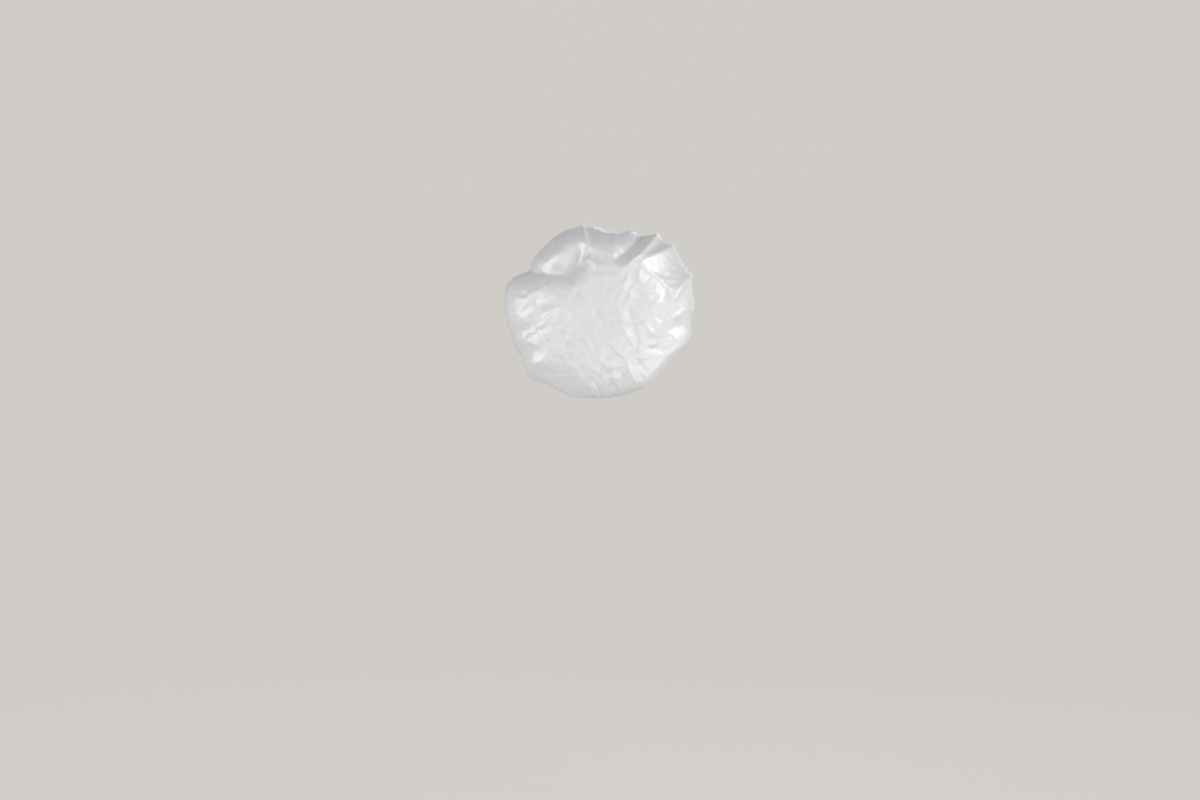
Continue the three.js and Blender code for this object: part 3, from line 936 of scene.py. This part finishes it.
def sew_elastic(shape, material):
    """The woven elastic, whose ends lie one on the other at the nape."""
    sewing = shape.sewing
    overlap = sewing.elastic_overlap / shape.opening.half_width
    steps = np.linspace(0, 1, ELASTIC_STEPS)
    turns = NAPE_TURN - overlap / 2 + steps * (math.tau + overlap)
    crossed = (turns - turns[0] - math.tau + 2 * overlap) / overlap
    middle = (sewing.elastic + sewing.gap) / 2 * (2 * smooth_step(crossed) - 1)
    half, height = elastic_section(sewing)
    out = np.concatenate((half, -half[::-1]))
    up = np.concatenate((height, height[::-1]))
    points = shape.casing_point(turns[:, None], middle[:, None] + out, up)
    rows, columns = points.shape[:2]
    faces = grid_faces(rows, columns, columns_join=True)
    made = make_mesh("elastic_strip", points.reshape(-1, 3), faces)
    around = shape.opening_length() + sewing.elastic_overlap
    girth = np.arange(columns) / columns * 2 * (sewing.elastic_width + sewing.elastic)
    lay_uv(made, grid_places(steps * around, girth))
    close_ends(made)
    dress(made, "elastic_band", "bonnet", material)


def close_ends(made):
    """Fills a strip's open ends."""
    shell = bmesh.new()
    shell.from_mesh(made.data)
    edges = [edge for edge in shell.edges if edge.is_boundary]
    bmesh.ops.holes_fill(shell, edges=edges)
    shell.to_mesh(made.data)
    shell.free()


STITCH_SIDES = 6
STITCH_RINGS = 8
STITCH_GAP_SHARE = 0.14
STITCH_END_SHARE = 0.3
STITCH_BED_SHARE = 0.3


def stitch_rise(sewing):
    """How far a stitch's middle stands off the cloth that it is pulled into."""
    return sewing.thread * (1 / 2 - STITCH_BED_SHARE)


def model_stitch(sewing):
    """One stitch, along X with its outer side up Z, whose ends go down into the cloth."""
    stitch_length = sewing.stitch * (1 - STITCH_GAP_SHARE)
    deselect_all()
    bpy.ops.mesh.primitive_uv_sphere_add(
        segments=STITCH_SIDES, ring_count=STITCH_RINGS, radius=sewing.thread / 2,
        rotation=(0, math.pi / 2, 0),
    )
    made = bpy.context.object
    bpy.ops.object.transform_apply(rotation=True)
    edit(bpy.ops.transform.resize, value=(stitch_length / sewing.thread, 1, 1))
    select_places(made, lambda point: abs(point.x) > stitch_length * STITCH_END_SHARE)
    edit(bpy.ops.transform.translate, value=(0, 0, -sewing.thread / 2))
    made.data.shade_smooth()
    return made


def copy_stitches(name, sewing, places):
    """A row of stitches, one at each place. A place is a middle with three directions: along the
    stitch, across it, and out of the cloth."""
    stitch = model_stitch(sewing)
    points = vertex_points(stitch.data)
    faces = [tuple(face.vertices) for face in stitch.data.polygons]
    bpy.data.objects.remove(stitch)
    rows = [middle + points @ np.array(directions) for middle, directions in places]
    corners = [tuple(k + n * len(points) for k in face) for n in range(len(rows)) for face in faces]
    return make_mesh(name, np.vstack(rows), corners)


def even_turns(shape, out, spacing):
    """Turns round the opening that lie evenly spaced along the casing."""
    fine = np.linspace(0, math.tau, SPACING_STEPS)
    lengths = lengths_along(shape.casing_point(fine, out, 0))
    number = round(lengths[-1] / spacing)
    return np.interp(np.arange(number) / number * lengths[-1], lengths, fine)


def casing_directions(shape, turn, side):
    """The directions along the casing, across it and out of it, on its outer side where side is 1
    and on its inner side where it is -1."""
    step = 1e-3
    along = unit(shape.casing_point(turn + step, 0, 0) - shape.casing_point(turn - step, 0, 0))
    across = shape.inwards * side
    return along, across, np.cross(along, across)


def sew_row(name, node, side, shape, material):
    """The row of stitches that shows on one side of the casing."""
    sewing = shape.sewing
    places = []
    for turn in even_turns(shape, side * sewing.pinched_outer, sewing.stitch):
        wave = ruche_wave(np.array([turn]), sewing, side)[0] * PINCH_SHARE * sewing.ruche_height
        out = sewing.pinched_outer + wave + stitch_rise(sewing)
        middle = shape.casing_point(turn, side * out, sewing.stitch_line)
        places.append((middle, casing_directions(shape, turn, side)))
    made = copy_stitches(name, sewing, places)
    dress(made, node, "bonnet", material)


JOIN_WAVES = 3
JOIN_STITCHES_PER_WAVE = 4


def sew_join(shape, material):
    """The zigzag that holds the elastic's ends together."""
    sewing = shape.sewing
    number = JOIN_WAVES * JOIN_STITCHES_PER_WAVE
    steps = np.arange(number + 1)
    zigzag = np.abs((steps / JOIN_STITCHES_PER_WAVE + 1 / 4) % 1 - 1 / 2) * 4 - 1
    turns = NAPE_TURN + (steps / number - 1 / 2) * sewing.join_length / shape.opening.half_length
    height = sewing.pocket_outer + sewing.elastic_width / 2 + zigzag * sewing.join_width / 2
    out = sewing.elastic + sewing.gap / 2 + stitch_rise(sewing)
    line = shape.casing_point(turns, out, height)
    places = []
    for k in range(number):
        along = unit(line[k + 1] - line[k])
        outwards = casing_directions(shape, (turns[k] + turns[k + 1]) / 2, 1)[2]
        across = unit(np.cross(outwards, along))
        places.append(((line[k] + line[k + 1]) / 2, (along, across, np.cross(along, across))))
    made = copy_stitches("elastic_join_row", sewing, places)
    dress(made, "elastic_join_stitch", "bonnet", material)


LABEL_ROWS = 14
LABEL_COLUMNS = 13


def label_place(shape):
    """The middle of the label's sewn end, and its directions: out to the casing's wall, in along
    the casing and across the nape."""
    sewing, label = shape.sewing, shape.label
    half = label.ply + label.gap / 2
    room = shape.opening.half_width - sewing.pocket_outer
    hollow = shape.opening.half_length * (1 - math.sqrt(1 - (label.width / 2 / room) ** 2))
    face = sewing.pinched_outer + sewing.thread + 2 * label.clearance
    middle = shape.casing_point(NAPE_TURN, -(face + hollow + half), sewing.stitch_line)
    directions = np.array((-shape.opening_long, shape.inwards, -RIGHT))
    return middle, directions


def label_strip(label):
    """The folded strip's outer face from one sewn end over the fold to the other: the distance out
    to the wall and the distance from the sewn end."""
    half = label.ply + label.gap / 2
    straight = np.linspace(0, 1, LABEL_ROWS)
    up = straight * (label.length - half)
    belly = label.belly * np.sin(straight * math.pi) ** 2
    bend = np.linspace(0, math.pi, LABEL_ROWS)[1:-1]
    out = np.concatenate((-half - belly, -half * np.cos(bend), np.full(LABEL_ROWS, half)))
    along = np.concatenate((up, label.length - half + half * np.sin(bend), up[::-1]))
    return out, along


def sew_label(shape, material):
    """The blank care label, folded once and a little curled."""
    label = shape.label
    middle, directions = label_place(shape)
    out, along = label_strip(label)
    across = np.linspace(-1, 1, LABEL_COLUMNS)
    curl = label.curl * across**2 * smooth_step(along / label.length)[:, None]
    local = np.stack(
        np.broadcast_arrays(out[:, None] - curl, along[:, None], across * label.width / 2), axis=-1
    )
    points = middle + local @ directions
    rows, columns = points.shape[:2]
    made = make_mesh("folded_label", points.reshape(-1, 3), grid_faces(rows, columns))
    strip = lengths_along(np.stack((out, along), axis=1))
    lay_uv(made, grid_places(strip, across * label.width / 2))
    thicken(made, label.ply)
    dress(made, "care_label", "label", material)


def sew_label_row(shape, material):
    """The row of stitches that holds the label."""
    sewing, label = shape.sewing, shape.label
    middle, directions = label_place(shape)
    outwards, inwards, across = directions
    number = int((label.width - 2 * label.inset) / sewing.stitch)
    face = label.ply + label.gap / 2 + stitch_rise(sewing)
    start = middle - outwards * face + inwards * label.inset
    places = [
        (start + across * sewing.stitch * (k - (number - 1) / 2), (across, -inwards, -outwards))
        for k in range(number)
    ]
    made = copy_stitches("label_row", sewing, places)
    dress(made, "label_stitch", "label", material)


def add_node(tree, kind, settings=None, inputs=None):
    """Adds a node with its settings. An input is a value, or the output that feeds it."""
    node = tree.nodes.new(kind)
    for name, value in (settings or {}).items():
        setattr(node, name, value)
    for name, value in (inputs or {}).items():
        if isinstance(value, bpy.types.NodeSocket):
            tree.links.new(value, node.inputs[name])
        else:
            node.inputs[name].default_value = value
    return node


def new_material(name):
    """A material without nodes, for its maker to fill."""
    material = bpy.data.materials.new(name)
    material.use_nodes = True
    material.node_tree.nodes.clear()
    return material


def finish_material(material, shader):
    """Ends a material with this shader."""
    tree = material.node_tree
    add_node(tree, "ShaderNodeOutputMaterial", inputs={"Surface": shader.outputs[0]})
    return material


def shade(linear, factor):
    """A colour made darker or lighter by a factor, with its opacity."""
    return (*(part * factor for part in linear), 1)


def finish_cloth(material, tone_and_shade, linear, tints, reliefs, looks):
    """Ends a cloth's or a thread's material. Its colour goes between two tints: random tone along the
    satin's slubs, and painted shade between the woven tape's picks and along the thread's slanting
    bands. Its reliefs, each a height and a depth, lie one on the other."""
    tree = material.node_tree
    darker, lighter = (shade(linear, factor) for factor in tints)
    tint = add_node(
        tree, "ShaderNodeMix", {"data_type": "RGBA"}, {"Factor": tone_and_shade, "A": darker, "B": lighter}
    )
    below = {}
    for height, depth in reliefs:
        relief = add_node(
            tree, "ShaderNodeBump", inputs={"Height": height, "Distance": depth, "Strength": 1, **below}
        )
        below = {"Normal": relief.outputs["Normal"]}
    shader = add_node(
        tree, "ShaderNodeBsdfPrincipled",
        inputs={"Base Color": tint.outputs["Result"], **looks, **below},
    )
    return finish_material(material, shader)


# Satin's yarns lie about 0.1 mm apart. They are drawn wider, so that they show.
YARN = 0.35 * MM
YARN_DEPTH = 0.02 * MM
FLOAT_RUN = 14 * MM
CRINKLE = 11 * MM
CRINKLE_DEPTH = 0.3 * MM
OUTER_ROUGHNESS = 0.46
LINING_ROUGHNESS = 0.48
# How much darker and lighter than its colour a cloth or thread gets: on the satin this is random tone
# along its slubs, and on the woven tape and the thread the darker tint is painted shade.
SATIN_TINTS = (0.95, 1.03)
WOVEN_SHADE_TINTS = (0.86, 1)
THREAD_SHADE_TINTS = (0.8, 1)


def satin_material(name, linear, roughness):
    """Polyester satin. Its yarns lie side by side along the cut, which draws each highlight out
    across them, and fine crinkles break up the gloss, so that it doesn't look like plastic."""
    material = new_material(name)
    tree = material.node_tree
    flat = add_node(tree, "ShaderNodeUVMap", {"uv_map": CUT_MAP}).outputs["UV"]
    yarns = add_node(
        tree, "ShaderNodeMapping", inputs={"Vector": flat, "Scale": (1 / FLOAT_RUN, 1 / YARN, 1)}
    )
    slubs = add_node(
        tree, "ShaderNodeTexNoise",
        inputs={"Vector": yarns.outputs["Vector"], "Scale": 1, "Detail": 2},
    )
    crinkle = add_node(
        tree, "ShaderNodeTexNoise", inputs={"Vector": flat, "Scale": 1 / CRINKLE, "Detail": 3}
    )
    along = add_node(tree, "ShaderNodeTangent", {"direction_type": "UV_MAP", "uv_map": CUT_MAP})
    reliefs = ((crinkle.outputs["Fac"], CRINKLE_DEPTH), (slubs.outputs["Fac"], YARN_DEPTH))
    looks = {
        "Roughness": roughness,
        "Metallic": 0.15,
        "Anisotropic": 0.5,
        "Sheen Weight": 0.12,
        "Sheen Roughness": 0.4,
        "Specular IOR Level": 0.6,
        "Tangent": along.outputs["Tangent"],
    }
    return finish_cloth(material, slubs.outputs["Fac"], linear, SATIN_TINTS, reliefs, looks)


# Rows of the elastic, and of the label's tape, whose real ones of 0.2 mm are drawn wider, so that they
# show. TWIST is the spacing of the thread's slanting bands of painted shade.
PICK = 0.6 * MM
TAPE_YARN = 0.4 * MM
WEAVE_DEPTH = 0.06 * MM
TWIST = 0.5 * MM
ELASTIC_ROUGHNESS = 0.85
TAPE_ROUGHNESS = 0.7


def woven_material(name, linear, spacing, roughness):
    """Matt woven tape. Rows of picks cross it, which roughen its face, and painted shade darkens its
    colour between them.
    """
    material = new_material(name)
    tree = material.node_tree
    flat = add_node(tree, "ShaderNodeUVMap", {"uv_map": CUT_MAP}).outputs["UV"]
    # The picks' waves give the relief, and also painted shade that darkens the colour in the grooves
    # between them.
    picks = add_node(
        tree, "ShaderNodeTexWave", {"bands_direction": "X"},
        {"Vector": flat, "Scale": 1 / spacing / math.tau, "Distortion": 0.6},
    ).outputs["Fac"]
    reliefs = ((picks, WEAVE_DEPTH),)
    return finish_cloth(material, picks, linear, WOVEN_SHADE_TINTS, reliefs, {"Roughness": roughness})


def thread_material(linear):
    """Spun polyester thread. Its twist shows as fine slanting bands of painted shade."""
    material = new_material("Spun Polyester Thread")
    tree = material.node_tree
    place = add_node(tree, "ShaderNodeTexCoord").outputs["Object"]
    # Painted shade in slanting bands, where the grooves of the twist would be darker.
    twist = add_node(
        tree, "ShaderNodeTexWave", {"bands_direction": "DIAGONAL"},
        {"Vector": place, "Scale": 1 / TWIST / math.tau, "Distortion": 1},
    ).outputs["Fac"]
    looks = {"Roughness": 0.6, "Sheen Weight": 0.2}
    return finish_cloth(material, twist, linear, THREAD_SHADE_TINTS, (), looks)


# The share of the paper that shows its plain colour to the rays that see the background.
PAPER_PLAIN_SHARE = 0.85


def background_rays(tree):
    """1 for the rays that show the background, which are the camera's and those that gloss and
    glass send on, and 0 for the others."""
    path = add_node(tree, "ShaderNodeLightPath")
    seen = path.outputs["Is Camera Ray"]
    for kind in ("Is Glossy Ray", "Is Transmission Ray"):
        both = add_node(
            tree, "ShaderNodeMath", {"operation": "MAXIMUM"}, {0: seen, 1: path.outputs[kind]}
        )
        seen = both.outputs[0]
    return seen


def backdrop_material(linear):
    """Matt studio paper. The camera sees its plain colour, mixed with the light that falls on it,
    so that it keeps soft shadows."""
    material = new_material("Matt Studio Paper")
    tree = material.node_tree
    lit = add_node(tree, "ShaderNodeBsdfDiffuse", inputs={"Color": shade(linear, 1)})
    bare = add_node(tree, "ShaderNodeEmission", inputs={"Color": shade(linear, 1), "Strength": 1})
    seen = add_node(
        tree, "ShaderNodeMath", {"operation": "MULTIPLY"},
        {0: background_rays(tree), 1: PAPER_PLAIN_SHARE},
    )
    shader = add_node(
        tree, "ShaderNodeMixShader",
        inputs={0: seen.outputs[0], 1: lit.outputs[0], 2: bare.outputs[0]},
    )
    return finish_material(material, shader)


PHOTO_SIZE = (1200, 800)
# Where the photograph has the middle of the head opening.
ORIGIN_PX = (599, 319)
SENSOR = 36
# The paper's sizes in metres.
PAPER_HALF_WIDTH = 9
PAPER_FRONT = 9
PAPER_BACK = 5
PAPER_HEIGHT = 7
PAPER_BEND = 2
PAPER_BEND_STEPS = 12
WORLD_STRENGTH = 0.34
# How bright the paper looks under the lamps, for the background past it.
BACKGROUND_STRENGTH = 0.885
# Each lamp's place, the side of its square and its power.
LAMPS = (
    ("key_softbox", (2.3, -1.3, 1.0), 1.2, 36),
    ("low_right_softbox", (1.8, -1.8, -1.0), 1.0, 16),
    ("left_softbox", (-2.4, -1.4, 0.4), 1.5, 33),
    ("camera_softbox", (0, -3.4, -1.4), 2.0, 22),
    ("front_softbox", (0.5, 2.1, 0.1), 1.2, 8),
)


def place_camera(settings):
    """The camera, behind the wearer and a little above, as in the photograph."""
    camera = add_object("camera", bpy.data.cameras.new("camera"))
    bpy.context.scene.camera = camera
    camera.data.sensor_width = SENSOR
    camera.data.lens = settings.focal_px / PHOTO_SIZE[0] * SENSOR
    dip = settings.look_down
    above = (PHOTO_SIZE[1] / 2 - ORIGIN_PX[1]) / settings.focal_px
    aside = (PHOTO_SIZE[0] / 2 - ORIGIN_PX[0]) / settings.focal_px
    camera.location = (
        aside * settings.distance,
        -settings.distance * math.cos(dip),
        settings.distance * math.sin(dip),
    )
    camera.rotation_euler = (math.pi / 2 - dip - math.atan(above), 0, 0)


def place_paper(settings):
    """One sheet of paper, the floor and the backdrop behind it with a soft bend between."""
    deselect_all()
    bpy.ops.mesh.primitive_plane_add(size=2, location=(0, 0, -settings.floor_drop))
    paper = bpy.context.object
    paper.name = "studio_paper"
    bpy.ops.object.transform_apply(location=True)
    reach, middle = (PAPER_BACK + PAPER_FRONT) / 2, (PAPER_BACK - PAPER_FRONT) / 2
    edit(bpy.ops.transform.resize, value=(PAPER_HALF_WIDTH, reach, 1))
    edit(bpy.ops.transform.translate, value=(0, middle, 0))
    select_places(paper, lambda point: point.y > 0)
    upwards = {"value": (0, 0, PAPER_HEIGHT)}
    edit(bpy.ops.mesh.extrude_region_move, TRANSFORM_OT_translate=upwards)
    low = -settings.floor_drop + PAPER_HEIGHT / 2
    select_places(paper, lambda point: point.y > 0 and point.z < low)
    edit(bpy.ops.mesh.bevel, offset=PAPER_BEND, segments=PAPER_BEND_STEPS)
    paper.data.shade_smooth()
    paper.data.materials.append(backdrop_material(settings.backdrop))


def place_lamps(settings):
    """Soft lamps on all sides, the strongest to the upper right, and an even light all round.
    Past the paper, the background shows the paper's colour."""
    world = bpy.data.worlds.new("Studio")
    bpy.context.scene.world = world
    world.use_nodes = True
    tree = world.node_tree
    tree.nodes.clear()
    even = add_node(
        tree, "ShaderNodeBackground",
        inputs={"Color": shade(settings.room, 1), "Strength": WORLD_STRENGTH},
    )
    paper = add_node(
        tree, "ShaderNodeBackground",
        inputs={"Color": shade(settings.backdrop, 1), "Strength": BACKGROUND_STRENGTH},
    )
    mixed = add_node(
        tree, "ShaderNodeMixShader",
        inputs={0: background_rays(tree), 1: even.outputs[0], 2: paper.outputs[0]},
    )
    add_node(tree, "ShaderNodeOutputWorld", inputs={"Surface": mixed.outputs[0]})
    for name, place, size, power in LAMPS:
        data = bpy.data.lights.new(name, "AREA")
        data.size = size
        data.energy = power
        lamp = add_object(name, data)
        lamp.location = place
        lamp.rotation_euler = (-Vector(place)).to_track_quat("-Z", "Y").to_euler()


def kept_material(name, make):
    """The material of this name, made when it is first asked for."""
    return bpy.data.materials.get(name) or make()


def outer_satin(finish):
    """The material of the outer bag and the casing."""
    name = "White Polyester Satin"
    return kept_material(name, lambda: satin_material(name, finish.satin, OUTER_ROUGHNESS))


def inner_satin(finish):
    """The material of the lining."""
    name = "Off White Lining Satin"
    return kept_material(name, lambda: satin_material(name, finish.lining, LINING_ROUGHNESS))


def spun_thread(finish):
    """The material of all the sewing."""
    return kept_material("Spun Polyester Thread", lambda: thread_material(finish.thread))


class BONNET_OT_outer(bpy.types.Operator):
    """Make the outer bag of satin"""

    bl_idname = "bonnet.outer"
    bl_label = "Outer Bag"

    def execute(self, context):
        bonnet = context.scene.bonnet
        sew_outer(Shape(bonnet), outer_satin(bonnet.finish))
        return {"FINISHED"}


class BONNET_OT_lining(bpy.types.Operator):
    """Make the lining inside the outer bag"""

    bl_idname = "bonnet.lining"
    bl_label = "Lining"

    def execute(self, context):
        bonnet = context.scene.bonnet
        sew_lining(Shape(bonnet), inner_satin(bonnet.finish))
        return {"FINISHED"}


class BONNET_OT_casing(bpy.types.Operator):
    """Make the ruched casing round the opening"""

    bl_idname = "bonnet.casing"
    bl_label = "Casing"

    def execute(self, context):
        bonnet = context.scene.bonnet
        sew_casing(Shape(bonnet), outer_satin(bonnet.finish))
        return {"FINISHED"}


class BONNET_OT_elastic(bpy.types.Operator):
    """Make the elastic and the zigzag that joins its ends"""

    bl_idname = "bonnet.elastic"
    bl_label = "Elastic"

    def execute(self, context):
        finish = context.scene.bonnet.finish
        shape = Shape(context.scene.bonnet)
        knit = woven_material("Woven Elastic", finish.elastic, PICK, ELASTIC_ROUGHNESS)
        sew_elastic(shape, knit)
        sew_join(shape, spun_thread(finish))
        return {"FINISHED"}


class BONNET_OT_rows(bpy.types.Operator):
    """Make the rows of stitches that close the casing"""

    bl_idname = "bonnet.rows"
    bl_label = "Casing Stitches"

    def execute(self, context):
        shape = Shape(context.scene.bonnet)
        thread = spun_thread(context.scene.bonnet.finish)
        sew_row("needle_row", "casing_needle_thread", 1, shape, thread)
        sew_row("bobbin_row", "casing_bobbin_thread", -1, shape, thread)
        return {"FINISHED"}


class BONNET_OT_label(bpy.types.Operator):
    """Make the blank care label and its stitches"""

    bl_idname = "bonnet.label"
    bl_label = "Care Label"

    def execute(self, context):
        finish = context.scene.bonnet.finish
        shape = Shape(context.scene.bonnet)
        tape = woven_material("Woven Label Tape", finish.label, TAPE_YARN, TAPE_ROUGHNESS)
        sew_label(shape, tape)
        sew_label_row(shape, spun_thread(finish))
        return {"FINISHED"}


class BONNET_OT_stage(bpy.types.Operator):
    """Set up the camera, the paper and the lamps"""

    bl_idname = "bonnet.stage"
    bl_label = "Stage"

    def execute(self, context):
        settings = context.scene.bonnet.stage
        place_camera(settings)
        place_paper(settings)
        place_lamps(settings)
        context.scene.view_settings.view_transform = "Standard"
        return {"FINISHED"}


OPERATORS = (
    BONNET_OT_outer,
    BONNET_OT_lining,
    BONNET_OT_casing,
    BONNET_OT_elastic,
    BONNET_OT_rows,
    BONNET_OT_label,
    BONNET_OT_stage,
)


class BONNET_PT_main(bpy.types.Panel):
    """The bonnet's pieces"""

    bl_idname = "BONNET_PT_main"
    bl_label = "Satin Bonnet"
    bl_space_type = "VIEW_3D"
    bl_region_type = "UI"
    bl_category = "Bonnet"

    def draw(self, context):
        bonnet = context.scene.bonnet
        for group in (
            bonnet.opening, bonnet.bag, bonnet.sewing, bonnet.label, bonnet.finish, bonnet.stage,
        ):
            box = self.layout.box()
            for name in group.__annotations__:
                box.prop(group, name)
        for operator in OPERATORS:
            self.layout.operator(operator.bl_idname)


CLASSES = (
    OpeningSizes,
    BagSizes,
    SewingSizes,
    LabelSizes,
    Finishes,
    StageSettings,
    BonnetSettings,
    *OPERATORS,
    BONNET_PT_main,
)


def register():
    """Registers the classes and the scene's settings."""
    for each in CLASSES:
        bpy.utils.register_class(each)
    bpy.types.Scene.bonnet = PointerProperty(type=BonnetSettings)


def unregister():
    """Takes the settings and the classes away again."""
    del bpy.types.Scene.bonnet
    for each in reversed(CLASSES):
        bpy.utils.unregister_class(each)


def main():
    """Makes the whole bonnet and its stage."""
    register()
    for name in ("outer", "lining", "casing", "elastic", "rows", "label", "stage"):
        getattr(bpy.ops.bonnet, name)()


if __name__ == "__main__":
    main()
